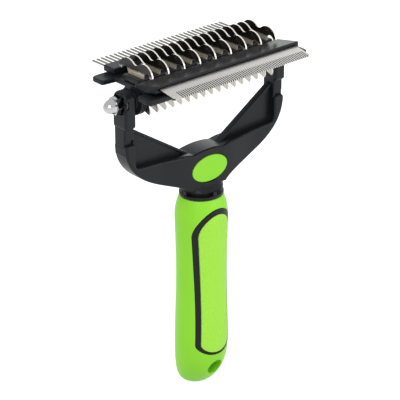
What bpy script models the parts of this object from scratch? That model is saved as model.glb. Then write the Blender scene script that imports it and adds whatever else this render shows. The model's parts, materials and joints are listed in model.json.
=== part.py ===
"""Dematting comb: a two-armed handle that carries a turning head with four tools.

World frame in metres: X runs along the head, +Y is the back, +Z is up.
Sizes below are in millimetres. The origin is the foot of the handle, on its axis.
"""

import math

import bmesh
import bpy
from mathutils import Matrix, Vector

MM = 0.001
GAP = 0.3

# Handle
GRIP_TOP = 107.4
GRIP_FOOT = 15.0
FOOT_FLAT = 4.6
FOOT_LEAN = 3.4
GRIP_WIDTH = 26.6
GRIP_DEPTH = 25.2
WAIST = 0.7
SHOULDER_HEIGHT = 11.0
SHOULDER_INSET = 1.9
INLAY_BOTTOM = 21.0
INLAY_TOP = 102.8
INLAY_HALF = 11.4
INLAY_WAIST = 10.2
BAND_WIDTH = 2.5
INLAY_SINK = 1.8
HANG_HEIGHT = 11.6
HANG_RADIUS = 4.4
TANG_HALF = (6.0, 4.0)
TANG_BOTTOM = 42.0
COLLAR_HEIGHT = 3.9
COLLAR_RIM = 1.7
COLLAR_STEP = 2.2
POST_WIDTH = 2.4

# Width of the head and of the yoke round it
HEAD_HALF = 43.9
WASHER_THICK = 0.7
ARM_INNER = HEAD_HALF + WASHER_THICK + 2 * GAP
ARM_THICK = 6.6
ARM_OUTER = ARM_INNER + ARM_THICK
ARM_WAIST = 1.7
ARM_DEPTH = 10.0

# Heights of the yoke, each from the one before
NECK_BASE = GRIP_TOP + COLLAR_HEIGHT + 2 * GAP
NECK_HALF = (11.3, 10.7)
HUB_HEIGHT = NECK_BASE + 12.4
HUB_HALF = (20.0, 9.6)
HUB_DEPTH = 15.0
BADGE_HALF = (11.4, 7.3)
BADGE_THICK = 1.6
BADGE_PROUD = 0.3
BAR_DEPTH = 9.4
GUSSET_FOOT = HUB_HEIGHT + 8.1
GUSSET_INNER = 9.7
GUSSET_RISE = 22.8
GUSSET_RIM = (3.0, 5.0)
LEDGE_RISE = 2.1
WEB_THICK = 2.4
SWEEP_RADIUS = 10.8
SWEEP_CLEAR = 3.0
AXLE_HEIGHT = GUSSET_FOOT + GUSSET_RISE + SWEEP_RADIUS + SWEEP_CLEAR
ARM_ABOVE_AXLE = 6.6
ARM_HEAD = 12.6
ARM_SLOT = (18.6, 21.0)

# Axle
AXLE_DIA = 5.0
AXLE_RADIUS = AXLE_DIA / 2
BORE_RADIUS = AXLE_RADIUS + GAP
RECESS_RADIUS = 5.4
RECESS_DEPTH = 2.2
ARM_WASHER_RADIUS = 4.8
ARM_WASHER_THICK = 0.9
FRICTION_RADIUS = 5.0
BOLT_HEAD_RADIUS = 4.3
BOLT_HEAD_HEIGHT = 3.4
NUT_FLATS = 8.0
NUT_HEIGHT = 4.4
DOME_RADIUS = 3.8
DOME_STRETCH = 1.45
BOLT_BEYOND = 7.0

# Head, measured from the axle
TAB_UNDER = ARM_DEPTH / 2 + GAP
FLANGE_THICK = 2.5
FLANGE_TOP = TAB_UNDER + FLANGE_THICK
DECK = FLANGE_TOP + GAP
TAB_FROM = 12.0
TAB_TO = 21.5
TAB_REACH = ARM_OUTER - 0.4
CORE_RADIUS = 4.3
BOSS_RADIUS = 7.5
BOSS_GROOVE = 1.2
BOSS_LENGTH = 3.2

# Rake of double-sided and single hooks
RAKE_COUNT = 17
RAKE_THICK = 0.8
RAKE_HALF = HEAD_HALF - 4.3
RAKE_PITCH = 2 * RAKE_HALF / (RAKE_COUNT - 1)
RAKE_CENTRE = 1.6
LOBE_RADIUS = 6.4
LOBE_OFFSET = 6.0
LOBE_LEVEL = DECK + 3.8
VALLEY_LEVEL = DECK + 7.9
OPENING_RADIUS = 2.5
OPENING_OFFSET = 8.1
OPENING_LEVEL = DECK + 3.5
STEM_HALF = 5.4
SEAT_LEVEL = DECK + 1.1
CARRIER_HALF = 6.0
CARRIER_HEIGHT = 2.8

# Pin comb at the back
COMB_REACH = 33.5
COMB_HALF = HEAD_HALF - 1.1
COMB_FRONT = 14.4
COMB_BACK = 22.5
COMB_HEIGHT = 3.2
PIN_COUNT = 32
PIN_PITCH = 2 * (COMB_HALF - 1.9) / (PIN_COUNT - 1)
PIN_RADIUS = 0.55
PIN_POINT = 1.2
PIN_LEVEL = DECK + 1.75
SPINE_HALF = 0.58
SPINE_DEPTH = 2.7

# Shedding blade in front
BLADE_REACH = 30.8
BAR_HALF = ARM_INNER + 0.8
BAR_FRONT = 20.0
BAR_SEAT = 14.5
BAR_BACK = RAKE_CENTRE - CARRIER_HALF - 2 * GAP
BAR_LIP = DECK + 5.2
BAR_LIP_UNDER = DECK + 1.3
BAR_LOW = DECK + 2.2
PLATE_HALF = HEAD_HALF - 0.2
PLATE_THICK = 0.9
PLATE_LEVEL = DECK + 3.0
PLATE_TILT = math.radians(9.7)
PLATE_GRIP = 2.4
TOOTH_COUNT = 62
TOOTH_DEPTH = 5.0
TOOTH_LEFT = 5.3
TOOTH_RIGHT = 1.9
TOOTH_GAP = 0.42

# Small rake under the front of the head
LOWER_COUNT = RAKE_COUNT
LOWER_HALF = HEAD_HALF - BOSS_LENGTH - 2 * GAP
LOWER_FRONT = 9.4
LOWER_BACK = CORE_RADIUS + 0.5
LOWER_UNDER = 1.6
LOWER_WALL = 0.8
LOWER_THICK = 0.8

BLACK = ("black_plastic", (0.026, 0.027, 0.029), 0.45, 0.0)
GREEN = ("green_plastic", (0.29, 0.72, 0.055), 0.4, 0.0)
LIME = ("lime_rubber", (0.40, 0.83, 0.09), 0.65, 0.0)
STEEL = ("brushed_steel", (0.62, 0.60, 0.57), 0.3, 1.0)
CHROME = ("chrome", (0.75, 0.75, 0.76), 0.08, 1.0)
NYLON = ("nylon", (0.75, 0.74, 0.70), 0.5, 0.0)


def clear_scene():
    """Remove every object of the open scene."""
    for obj in list(bpy.data.objects):
        bpy.data.objects.remove(obj, do_unlink=True)


def new_collection(name):
    """A collection linked to the scene."""
    found = bpy.data.collections.get(name)
    if found is None:
        found = bpy.data.collections.new(name)
        bpy.context.scene.collection.children.link(found)
    return found


def material(spec):
    """A Principled material from (name, colour, roughness, metallic)."""
    name, colour, rough, metal = spec
    mat = bpy.data.materials.get(name)
    if mat is None:
        mat = bpy.data.materials.new(name)
        mat.use_nodes = True
        node = mat.node_tree.nodes["Principled BSDF"]
        node.inputs["Base Color"].default_value = (*colour, 1.0)
        node.inputs["Roughness"].default_value = rough
        node.inputs["Metallic"].default_value = metal
    return mat


clear_scene()
PARTS = new_collection("dematting_comb")
CUTTERS = new_collection("cutters")


def make_empty(name, place):
    """An empty at a place in millimetres that carries one body's pieces."""
    empty = bpy.data.objects.new(name, None)
    empty.location = Vector(place) * MM
    PARTS.objects.link(empty)
    return empty


HAND = make_empty("hand_body", (0, 0, 0))
HEAD = make_empty("head_body", (0, 0, AXLE_HEIGHT))

ALONG_X = Matrix(((0, 0, 1, 0), (1, 0, 0, 0), (0, 1, 0, 0), (0, 0, 0, 1)))
ALONG_Y = Matrix.Rotation(math.radians(90), 4, "X")
ALONG_Z = Matrix.Identity(4)


def mesh_object(name, bm, spec=None, parent=None):
    """Link a bmesh as a part, or as a hidden cutter when it has no material."""
    mesh = bpy.data.meshes.new(name)
    bm.to_mesh(mesh)
    bm.free()
    obj = bpy.data.objects.new(name, mesh)
    if spec is None:
        CUTTERS.objects.link(obj)
        obj.hide_render = True
        obj.display_type = "WIRE"
    else:
        PARTS.objects.link(obj)
        mesh.materials.append(material(spec))
    obj.parent = parent
    return obj


def shade(obj, angle=35):
    """Smooth shading with creases kept sharp."""
    obj.data.shade_smooth()
    obj.data.set_sharp_from_angle(angle=math.radians(angle))
    return obj


def outline_bmesh(loops, thick, frame, centre=0.0):
    """A flat outline (with holes) extruded along a frame's third axis."""
    curve = bpy.data.curves.new("outline", "CURVE")
    curve.dimensions = "2D"
    curve.fill_mode = "BOTH"
    curve.extrude = thick / 2 * MM
    for loop in loops:
        spline = curve.splines.new("POLY")
        spline.points.add(len(loop) - 1)
        for point, (u, v) in zip(spline.points, loop):
            point.co = (u * MM, v * MM, 0, 1)
        spline.use_cyclic_u = True
    guide = bpy.data.objects.new("outline", curve)
    CUTTERS.objects.link(guide)
    bpy.context.view_layer.update()
    graph = bpy.context.evaluated_depsgraph_get()
    mesh = bpy.data.meshes.new_from_object(guide.evaluated_get(graph))
    bm = bmesh.new()
    bm.from_mesh(mesh)
    bpy.data.objects.remove(guide, do_unlink=True)
    bpy.data.meshes.remove(mesh)
    bmesh.ops.remove_doubles(bm, verts=bm.verts, dist=1e-7)
    if len(loops) == 1:
        bmesh.ops.dissolve_limit(bm, angle_limit=0.002, verts=bm.verts, edges=bm.edges)
    bmesh.ops.translate(bm, verts=bm.verts, vec=(0, 0, centre * MM))
    bmesh.ops.transform(bm, verts=bm.verts, matrix=frame)
    bmesh.ops.recalc_face_normals(bm, faces=bm.faces)
    return bm


def box_into(bm, low, high, turn=None):
    """Add a box between two corners in millimetres."""
    size = [(b - a) * MM for a, b in zip(low, high)]
    mid = [(a + b) / 2 * MM for a, b in zip(low, high)]
    frame = Matrix.Translation(mid) @ Matrix.Diagonal((*size, 1))
    if turn is not None:
        frame = turn @ frame
    bmesh.ops.create_cube(bm, size=1, matrix=frame)


def box_bmesh(low, high, turn=None):
    """One box as a bmesh."""
    bm = bmesh.new()
    box_into(bm, low, high, turn)
    return bm


def rod_into(bm, radius, start, end, axis, at=(0, 0), segments=24, end_radius=None):
    """Add a cylinder or cone along axis X, Y or Z, at a place in the other two."""
    turn = {"X": Matrix.Rotation(math.radians(90), 4, "Y"),
            "Y": Matrix.Rotation(math.radians(-90), 4, "X"),
            "Z": Matrix.Identity(4)}[axis]
    mid = (start + end) / 2
    place = {"X": (mid, *at), "Y": (at[0], mid, at[1]), "Z": (*at, mid)}[axis]
    last = radius if end_radius is None else end_radius
    bmesh.ops.create_cone(
        bm, cap_ends=True, segments=segments, radius1=radius * MM, radius2=last * MM,
        depth=(end - start) * MM, matrix=Matrix.Translation(Vector(place) * MM) @ turn)


def rod_bmesh(*args, **kwargs):
    """One cylinder as a bmesh."""
    bm = bmesh.new()
    rod_into(bm, *args, **kwargs)
    return bm


def boolean(obj, operand, operation="DIFFERENCE"):
    """Cut, join or meet an object with an operand."""
    mod = obj.modifiers.new(operation.lower(), "BOOLEAN")
    mod.operation = operation
    mod.solver = "EXACT"
    mod.object = operand
    return obj


def cut(obj, name, bm):
    """Cut a bmesh in the object's own frame out of it."""
    return boolean(obj, mesh_object(name, bm, parent=obj.parent))


def join(obj, name, bm):
    """Join a bmesh in the object's own frame to it."""
    return boolean(obj, mesh_object(name, bm, parent=obj.parent), "UNION")


def bevel(obj, width, segments=2, angle=40):
    """Round the edges of an object."""
    mod = obj.modifiers.new("bevel", "BEVEL")
    mod.width = width * MM
    mod.segments = segments
    mod.limit_method = "ANGLE"
    mod.angle_limit = math.radians(angle)
    return obj


def arc(centre, radius, start, end, steps):
    """Points on an arc, angles in degrees counter-clockwise from the first axis."""
    points = []
    for i in range(steps + 1):
        angle = math.radians(start + (end - start) * i / steps)
        points.append((centre[0] + radius * math.cos(angle), centre[1] + radius * math.sin(angle)))
    return points


def ellipse(centre, half, steps):
    """A closed ellipse outline."""
    points = []
    for i in range(steps):
        angle = 2 * math.pi * i / steps
        points.append((centre[0] + half[0] * math.cos(angle), centre[1] + half[1] * math.sin(angle)))
    return points


def mirrored(half):
    """A closed outline from its right half, listed from the bottom to the top."""
    return half + [(-u, v) for u, v in reversed(half) if abs(u) > 1e-6]


# Handle

def loft_bmesh(low_half, low, high_half, high, steps):
    """An elliptic form about Z between two heights."""
    bm = bmesh.new()
    rings = []
    for half, height in ((low_half, low), (high_half, high)):
        rings.append([bm.verts.new((x * MM, y * MM, height * MM)) for x, y in ellipse((0, 0), half, steps)])
    for i in range(steps):
        j = (i + 1) % steps
        bm.faces.new((rings[0][i], rings[0][j], rings[1][j], rings[1][i]))
    bm.faces.new(rings[1])
    bm.faces.new(list(reversed(rings[0])))
    bmesh.ops.recalc_face_normals(bm, faces=bm.faces)
    return bm


def grip_radius(height):
    """Radius of the grip across X at a height: a rounded foot, a slight waist and a soft shoulder."""
    full = GRIP_WIDTH / 2
    foot = GRIP_FOOT
    if height < foot:
        return FOOT_FLAT + (full - FOOT_FLAT) * (1 - ((foot - height) / foot) ** 2.4) ** (1 / 2.4)
    along = min((height - foot) / (GRIP_TOP - foot), 1)
    into = max((height - GRIP_TOP + SHOULDER_HEIGHT) / SHOULDER_HEIGHT, 0)
    return full - WAIST * math.sin(math.pi * along) ** 2 - SHOULDER_INSET * into ** 2


def turned(profile, steps=32):
    """A profile of (radius, height) points, from the top down, turned about Z with its foot leaning back."""
    bm = bmesh.new()
    verts = [bm.verts.new((r * MM, 0, h * MM)) for r, h in profile]
    for a, b in zip(verts, verts[1:]):
        bm.edges.new((a, b))
    geom = bm.verts[:] + bm.edges[:]
    bmesh.ops.spin(bm, geom=geom, axis=(0, 0, 1), cent=(0, 0, 0), angle=2 * math.pi, steps=steps)
    bmesh.ops.remove_doubles(bm, verts=bm.verts, dist=1e-6)
    bmesh.ops.scale(bm, verts=bm.verts, vec=(1, GRIP_DEPTH / GRIP_WIDTH, 1))
    for vert in bm.verts:
        below = max(1 - vert.co.z / MM / GRIP_FOOT, 0)
        vert.co.y += FOOT_LEAN * below ** 2 * MM
    bmesh.ops.recalc_face_normals(bm, faces=bm.faces)
    return bm


def grip_form(grow=0.0):
    """The grip's whole turned form, its wall moved out by a little."""
    waist_top = GRIP_TOP - SHOULDER_HEIGHT
    heights = [GRIP_FOOT * (1 - math.cos(math.pi / 2 * i / 8)) for i in range(9)]
    heights += [GRIP_FOOT + (waist_top - GRIP_FOOT) * i / 6 for i in range(1, 7)]
    heights += [waist_top + SHOULDER_HEIGHT * i / 4 for i in range(1, 5)]
    wall = [(grip_radius(h) + grow, h) for h in reversed(heights)]
    return turned([(0.0, GRIP_TOP)] + wall + [(0.0, 0.0)])


def inlay_floor(sink):
    """A plug inside the grip whose wall is the floor of the inlay's recess."""
    low, high = INLAY_BOTTOM - 5.0, GRIP_TOP + 3.0
    heights = [high + (low - high) * i / 14 for i in range(15)]
    wall = [(grip_radius(h) - sink, h) for h in heights]
    return turned([(0.0, high)] + wall + [(0.0, low)])


def inlay_outline(inset):
    """Oval outline of the thumb inlay, slightly waisted, moved in by an inset."""
    low = INLAY_BOTTOM + inset
    high = INLAY_TOP - inset
    half = INLAY_HALF - inset
    slim = INLAY_WAIST - inset
    right = []
    for i in range(7):
        angle = math.radians(-90 + 15 * i)
        right.append((half * math.cos(angle), low + half * 0.9 * (1 + math.sin(angle))))
    for i in range(1, 6):
        step = i / 6
        side = half - (half - slim) * math.sin(math.pi * step)
        right.append((side, low + half * 0.9 + (high - low - 1.8 * half) * step))
    for i in range(7):
        angle = math.radians(15 * i)
        right.append((half * math.cos(angle), high - half * 0.9 * (1 - math.sin(angle))))
    right[0] = (0.0, low)
    right[-1] = (0.0, high)
    return mirrored(right)


def front_prism(*outlines):
    """The space in front of the handle's axis inside an outline, round any second one."""
    return outline_bmesh(outlines, 20.0, ALONG_Y, centre=10.5)


def build_grip():
    """Green grip shell with its black inlay band and textured thumb pad."""
    shell = mesh_object("grip_shell", grip_form(), GREEN, HAND)
    recess = mesh_object("inlay_recess", front_prism(inlay_outline(0.0)), parent=HAND)
    boolean(recess, mesh_object("recess_floor", inlay_floor(INLAY_SINK), parent=HAND))
    boolean(shell, recess)
    cut(shell, "hang_hole", rod_bmesh(HANG_RADIUS, -20, 20, "Y", (0, HANG_HEIGHT), segments=28))
    tang = [value + GAP for value in TANG_HALF]
    cut(shell, "tang_socket", box_bmesh((-tang[0], -tang[1], TANG_BOTTOM - GAP), (*tang, GRIP_TOP + 5)))
    shade(shell)

    under = INLAY_SINK - GAP
    ring = [inlay_outline(GAP), inlay_outline(GAP + BAND_WIDTH)]
    band = mesh_object("grip_band", front_prism(*ring), BLACK, HAND)
    boolean(band, mesh_object("band_skin", grip_form(0.1), parent=HAND), "INTERSECT")
    boolean(band, mesh_object("band_floor", inlay_floor(under), parent=HAND))
    shade(band)

    pad = mesh_object("grip_pad", front_prism(inlay_outline(2 * GAP + BAND_WIDTH)), LIME, HAND)
    boolean(pad, mesh_object("pad_skin", grip_form(0.05), parent=HAND), "INTERSECT")
    boolean(pad, mesh_object("pad_floor", inlay_floor(under), parent=HAND))
    shade(pad)


def build_collar():
    """Black ring under the neck: a rim on the grip and a slimmer core with four posts."""
    low = GRIP_TOP + GAP
    high = low + COLLAR_HEIGHT
    rim = [half + 0.3 for half in NECK_HALF]
    core = [half - COLLAR_STEP for half in NECK_HALF]
    post = [half - 0.1 for half in NECK_HALF]
    disc = outline_bmesh([ellipse((0, 0), rim, 32)], COLLAR_RIM, ALONG_Z, low + COLLAR_RIM / 2)
    collar = bevel(mesh_object("neck_collar", disc, BLACK, HAND), 0.4, 2)
    join(collar, "collar_core", loft_bmesh(core, low + 0.2, core, high, 24))
    half = POST_WIDTH / 2
    join(collar, "side_posts", box_bmesh((-post[0], -half, low + 0.3), (post[0], half, high - 0.05)))
    join(collar, "end_posts", box_bmesh((-half, -post[1], low + 0.4), (half, post[1], high - 0.1)))
    hole = [value + GAP for value in TANG_HALF]
    cut(collar, "tang_hole", box_bmesh((-hole[0], -hole[1], low - 5), (*hole, high + 5)))
    shade(collar)


# Yoke

def gusset_line(x):
    """Height of the sloping inner edge of the yoke at a distance from its middle."""
    return GUSSET_FOOT + GUSSET_RISE * (x - GUSSET_INNER) / (ARM_INNER - GUSSET_INNER)


def lower_edge(start, end, steps):
    """The crossbar's lower edge: one smooth curve from the neck out and up along the arm."""
    bend_in = (start[0] + 4.6, start[1] + 8.4)
    bend_out = (end[0] + 0.2, end[1] - 22.0)
    points = []
    for i in range(steps + 1):
        t = i / steps
        weights = ((1 - t) ** 3, 3 * t * (1 - t) ** 2, 3 * t * t * (1 - t), t ** 3)
        corners = (start, bend_in, bend_out, end)
        points.append(tuple(sum(w * p[k] for w, p in zip(weights, corners)) for k in (0, 1)))
    return points


def yoke_outline():
    """Right half of the crossbar in XZ, from the neck out to the arm and back to the hub."""
    low = NECK_BASE + 0.8
    top = HUB_HEIGHT + 21.0
    outer = ARM_OUTER - ARM_WAIST + 0.3
    inner = ARM_INNER + 0.1
    half = [(0.0, low)] + lower_edge((NECK_HALF[0], low), (outer, top), 12)
    half += [(inner, top), (inner, GUSSET_FOOT + LEDGE_RISE + 0.6)]
    half += [(GUSSET_INNER + 4.5, GUSSET_FOOT + LEDGE_RISE), (GUSSET_INNER, GUSSET_FOOT), (0.0, GUSSET_FOOT)]
    return mirrored(half)


def gusset_strip(side, near, far, drop_top, drop, thick):
    """A prism under the gusset's sloping edge, between two distances from the middle."""
    corners = [(near, gusset_line(near) - drop), (far, gusset_line(far) - drop)]
    corners += [(far, gusset_line(far) - drop_top), (near, gusset_line(near) - drop_top)]
    return outline_bmesh([[(side * x, z) for x, z in corners]], thick, ALONG_Y)


def web_prism(side):
    """The thin web that fills the gusset between the crossbar and one arm."""
    near, far = GUSSET_INNER + 1.0, ARM_INNER + 1.2
    low = GUSSET_FOOT - 2.0
    corners = [(near, low), (far, low), (far, gusset_line(far) - 0.8), (near, gusset_line(near) - 0.8)]
    return outline_bmesh([[(side * x, z) for x, z in corners]], WEB_THICK, ALONG_Y)


def arm_head(side):
    """The top of one arm round the axle, a block with a full round top."""
    half = ARM_DEPTH / 2
    top = AXLE_HEIGHT + ARM_ABOVE_AXLE - half
    low = AXLE_HEIGHT - ARM_HEAD
    loop = [(-half, low), (half, low)] + arc((0, top), half, 0, 180, 14)
    return outline_bmesh([loop], ARM_THICK, ALONG_X, side * (ARM_INNER + ARM_THICK / 2))


def arm_shank(side):
    """The slimmer lower part of one arm."""
    half = ARM_DEPTH / 2 - 0.8
    low, high = sorted((side * (ARM_INNER + 0.15), side * (ARM_OUTER - ARM_WAIST)))
    return box_bmesh((low, -half, HUB_HEIGHT + 20.0), (high, half, AXLE_HEIGHT - ARM_HEAD + 1.5))


def add_arm(yoke, side):
    """Join one arm, its web and rim to the crossbar, and bore it for the axle."""
    join(yoke, "web", web_prism(side))
    depth, thick = GUSSET_RIM
    join(yoke, "web_rim", gusset_strip(side, GUSSET_INNER - 0.5, ARM_INNER + 1.5, 0.0, depth, thick))
    shank = mesh_object("arm_shank", arm_shank(side), parent=HAND)
    boolean(yoke, bevel(shank, 0.6), "UNION")
    block = mesh_object("arm_head", arm_head(side), parent=HAND)
    boolean(yoke, bevel(block, 0.7), "UNION")
    low, high = sorted((side * (ARM_INNER - 5), side * (ARM_OUTER + 5)))
    cut(yoke, "axle_bore", rod_bmesh(BORE_RADIUS, low, high, "X", (0, AXLE_HEIGHT)))
    low, high = sorted((side * (ARM_OUTER - RECESS_DEPTH), side * (ARM_OUTER + 5)))
    cut(yoke, "nut_recess", rod_bmesh(RECESS_RADIUS, low, high, "X", (0, AXLE_HEIGHT), segments=32))
    low, high = sorted((side * (ARM_INNER + 1.0), side * (ARM_OUTER + 1)))
    cut(yoke, "arm_slot", box_bmesh((low, -ARM_DEPTH, AXLE_HEIGHT - ARM_SLOT[1]),
                                    (high, -ARM_DEPTH / 2 + 2.4, AXLE_HEIGHT - ARM_SLOT[0])))


def build_yoke():
    """Black two-armed frame with its hub, webs, neck and the tang inside the grip."""
    yoke = mesh_object("yoke_frame", outline_bmesh([yoke_outline()], BAR_DEPTH, ALONG_Y), BLACK, HAND)
    bevel(yoke, 1.2, 2, 50)
    hub = outline_bmesh([ellipse((0, HUB_HEIGHT), HUB_HALF, 36)], HUB_DEPTH, ALONG_Y)
    boolean(yoke, bevel(mesh_object("hub", hub, parent=HAND), 1.5, 2), "UNION")
    join(yoke, "neck", loft_bmesh(NECK_HALF, NECK_BASE, (15.0, HUB_DEPTH / 2 - 0.5), HUB_HEIGHT - 3.0, 28))
    for side in (-1, 1):
        add_arm(yoke, side)
    join(yoke, "tang", box_bmesh((-TANG_HALF[0], -TANG_HALF[1], TANG_BOTTOM), (*TANG_HALF, HUB_HEIGHT)))
    face = HUB_DEPTH / 2 + BADGE_PROUD
    seat = [half + GAP for half in BADGE_HALF]
    cut(yoke, "badge_seat", outline_bmesh([ellipse((0, HUB_HEIGHT), seat, 36)], 6.0, ALONG_Y,
                                          face - BADGE_THICK - GAP + 3.0))
    shade(yoke)

    badge = outline_bmesh([ellipse((0, HUB_HEIGHT), BADGE_HALF, 36)], BADGE_THICK, ALONG_Y,
                          face - BADGE_THICK / 2)
    shade(bevel(mesh_object("hub_badge", badge, GREEN, HAND), 0.35))


# Axle

def ring_object(name, outer, start, end, spec):
    """A washer about the axle between two places along X."""
    loops = [ellipse((0, AXLE_HEIGHT), (radius, radius), 20) for radius in (outer, BORE_RADIUS)]
    low, high = sorted((start, end))
    return shade(mesh_object(name, outline_bmesh(loops, high - low, ALONG_X, (low + high) / 2), spec, HAND))


def build_axle():
    """Bolt through both arms with a round head, washers and an acorn nut."""
    floor = ARM_OUTER - RECESS_DEPTH + GAP
    seat = floor + ARM_WASHER_THICK + GAP
    centre = (0, AXLE_HEIGHT)
    shank = rod_bmesh(AXLE_RADIUS, -(seat + BOLT_BEYOND), seat + BOLT_HEAD_HEIGHT / 2, "X", centre)
    bolt = mesh_object("axle_bolt", shank, STEEL, HAND)
    head_end = seat + BOLT_HEAD_HEIGHT
    join(bolt, "bolt_head", rod_bmesh(BOLT_HEAD_RADIUS, seat, head_end, "X", centre, segments=28,
                                      end_radius=0.8 * BOLT_HEAD_RADIUS))
    shade(bolt)
    for side, arm, inner in ((-1, "nut", "left"), (1, "bolt", "right")):
        start = side * floor
        ring_object(f"{arm}_washer", ARM_WASHER_RADIUS, start, start + side * ARM_WASHER_THICK, STEEL)
        start = side * (HEAD_HALF + GAP)
        ring_object(f"friction_washer_{inner}", FRICTION_RADIUS, start, start + side * WASHER_THICK, NYLON)

    nut_end = -(seat + NUT_HEIGHT)
    hexagon = rod_bmesh(NUT_FLATS / math.sqrt(3), nut_end, -seat, "X", centre, segments=6)
    nut = mesh_object("acorn_nut", hexagon, CHROME, HAND)
    dome = bmesh.new()
    bmesh.ops.create_uvsphere(dome, u_segments=24, v_segments=12, radius=DOME_RADIUS * MM)
    bmesh.ops.scale(dome, verts=dome.verts, vec=(DOME_STRETCH, 1, 1))
    bmesh.ops.translate(dome, verts=dome.verts, vec=Vector((nut_end + GAP, 0, AXLE_HEIGHT)) * MM)
    join(nut, "nut_dome", dome)
    cut(nut, "nut_bore", rod_bmesh(BORE_RADIUS, -(seat + BOLT_BEYOND + GAP), -seat + 3, "X", centre))
    shade(nut, 30)


# Head

def flange_outline():
    """Plan of the flange in XY, a plate with a round-cornered stop tab at each corner."""
    soft = 2.4
    corner = arc((TAB_REACH - soft, TAB_TO - soft), soft, 0, 90, 4)
    right = [(HEAD_HALF, TAB_FROM), (TAB_REACH - 1.0, TAB_FROM + 0.7), (TAB_REACH, TAB_FROM + 1.7)] + corner
    back = right + [(-x, y) for x, y in reversed(right)]
    return back + [(-x, -y) for x, y in back]


def boss_bmesh(side):
    """The grooved round boss at one end of the core."""
    bm = bmesh.new()
    ring = BOSS_LENGTH / 4
    start = HEAD_HALF - BOSS_LENGTH
    low, high = sorted((side * (start + ring / 2), side * (HEAD_HALF - ring / 2)))
    rod_into(bm, BOSS_RADIUS - BOSS_GROOVE, low, high, "X", segments=18)
    boss = mesh_object("boss", bm, parent=HEAD)
    for i in range(3):
        near = start + i * (BOSS_LENGTH - ring) / 2
        low, high = sorted((side * near, side * (near + ring)))
        join(boss, "boss_ring", rod_bmesh(BOSS_RADIUS, low, high, "X", segments=22))
    return boss


def build_core():
    """Black moulding that turns on the axle, with flanges and four stop tabs."""
    plan = outline_bmesh([flange_outline()], FLANGE_THICK, ALONG_Z, TAB_UNDER + FLANGE_THICK / 2)
    core = mesh_object("head_core", plan, BLACK, HEAD)
    bevel(core, 0.5, 1)
    long = HEAD_HALF - BOSS_LENGTH / 2
    join(core, "core_tube", rod_bmesh(CORE_RADIUS, -long, long, "X"))
    rib = CORE_RADIUS / 2
    join(core, "core_rib", box_bmesh((-long + 0.5, -rib, rib), (long - 0.5, rib, TAB_UNDER + 1.0)))
    for side in (-1, 1):
        boolean(core, boss_bmesh(side), "UNION")
    cut(core, "core_bore", rod_bmesh(BORE_RADIUS, -60, 60, "X"))
    shade(core)


def build_comb():
    """Black bar on the back flange and the row of long pins on one spine."""
    block = box_bmesh((-COMB_HALF, COMB_FRONT, DECK), (COMB_HALF, COMB_BACK, DECK + COMB_HEIGHT))
    bar = bevel(mesh_object("comb_bar", block, BLACK, HEAD), 0.6)
    spine = COMB_HALF - 1.0
    groove = SPINE_HALF + GAP
    cut(bar, "comb_groove", box_bmesh((-spine - GAP, COMB_BACK - SPINE_DEPTH - 2 * GAP, PIN_LEVEL - groove),
                                      (spine + GAP, COMB_BACK + 3, PIN_LEVEL + groove)))
    shade(bar)

    root = COMB_BACK - SPINE_DEPTH - GAP
    pins = mesh_object("comb_pins", box_bmesh((-spine, root, PIN_LEVEL - SPINE_HALF),
                                              (spine, COMB_BACK - GAP, PIN_LEVEL + SPINE_HALF)), STEEL, HEAD)
    row = bmesh.new()
    sides = 6
    for i in range(PIN_COUNT):
        x = (i - (PIN_COUNT - 1) / 2) * PIN_PITCH
        rod_into(row, PIN_RADIUS, COMB_BACK - 1.5, COMB_REACH - PIN_POINT, "Y", (x, PIN_LEVEL), sides)
    ends = [face for face in row.faces if len(face.verts) == sides and face.normal.y > 0.9]
    for face in bmesh.ops.extrude_discrete_faces(row, faces=ends)["faces"]:
        middle = face.calc_center_median()
        for vert in face.verts:
            vert.co = middle + (vert.co - middle) * 0.35 + Vector((0, PIN_POINT * MM, 0))
    join(pins, "pin_row", row)
    shade(pins)


def plate_frame():
    """Frame of the shedding blade: X along the head, Y out and down, at the bar's front edge."""
    place = Vector((0, -BAR_FRONT, PLATE_LEVEL)) * MM
    return Matrix.Translation(place) @ Matrix.Rotation(PLATE_TILT, 4, "X")


def plate_outline():
    """Comb-edged outline in X and Y, with the teeth along -Y."""
    reach = (BLADE_REACH - BAR_FRONT) / math.cos(PLATE_TILT)
    half = PLATE_HALF
    first = -half + TOOTH_LEFT
    pitch = (half - TOOTH_RIGHT - first) / (TOOTH_COUNT - 1)
    slot = pitch * TOOTH_GAP
    points = [(-half, PLATE_GRIP), (-half, -reach + 0.8), (-half + 0.8, -reach)]
    for i in range(TOOTH_COUNT):
        x = first + i * pitch
        points += [(x - slot / 2, -reach), (x - slot / 2, -reach + TOOTH_DEPTH)]
        points += [(x + slot / 2, -reach + TOOTH_DEPTH), (x + slot / 2, -reach)]
    points += [(half - 0.8, -reach), (half, -reach + 0.8), (half, PLATE_GRIP)]
    return points


def build_blade():
    """Black bar whose lip rises to the front and the fine-toothed shedding blade in its slot."""
    section = [(-BAR_FRONT, BAR_LIP_UNDER), (-BAR_SEAT, DECK), (BAR_BACK, DECK), (BAR_BACK, BAR_LOW),
               (-BAR_FRONT, BAR_LIP)]
    bar = mesh_object("blade_bar", outline_bmesh([section], 2 * BAR_HALF, ALONG_X), BLACK, HEAD)
    bevel(bar, 0.5)
    frame = plate_frame()
    half = PLATE_THICK / 2 + GAP
    slot = box_bmesh((-PLATE_HALF - GAP, -8, -half), (PLATE_HALF + GAP, PLATE_GRIP + GAP, half), frame)
    bmesh.ops.recalc_face_normals(slot, faces=slot.faces)
    cut(bar, "blade_slot", slot)
    shade(bar)
    mesh_object("blade_plate", outline_bmesh([plate_outline()], PLATE_THICK, frame), STEEL, HEAD)


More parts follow.
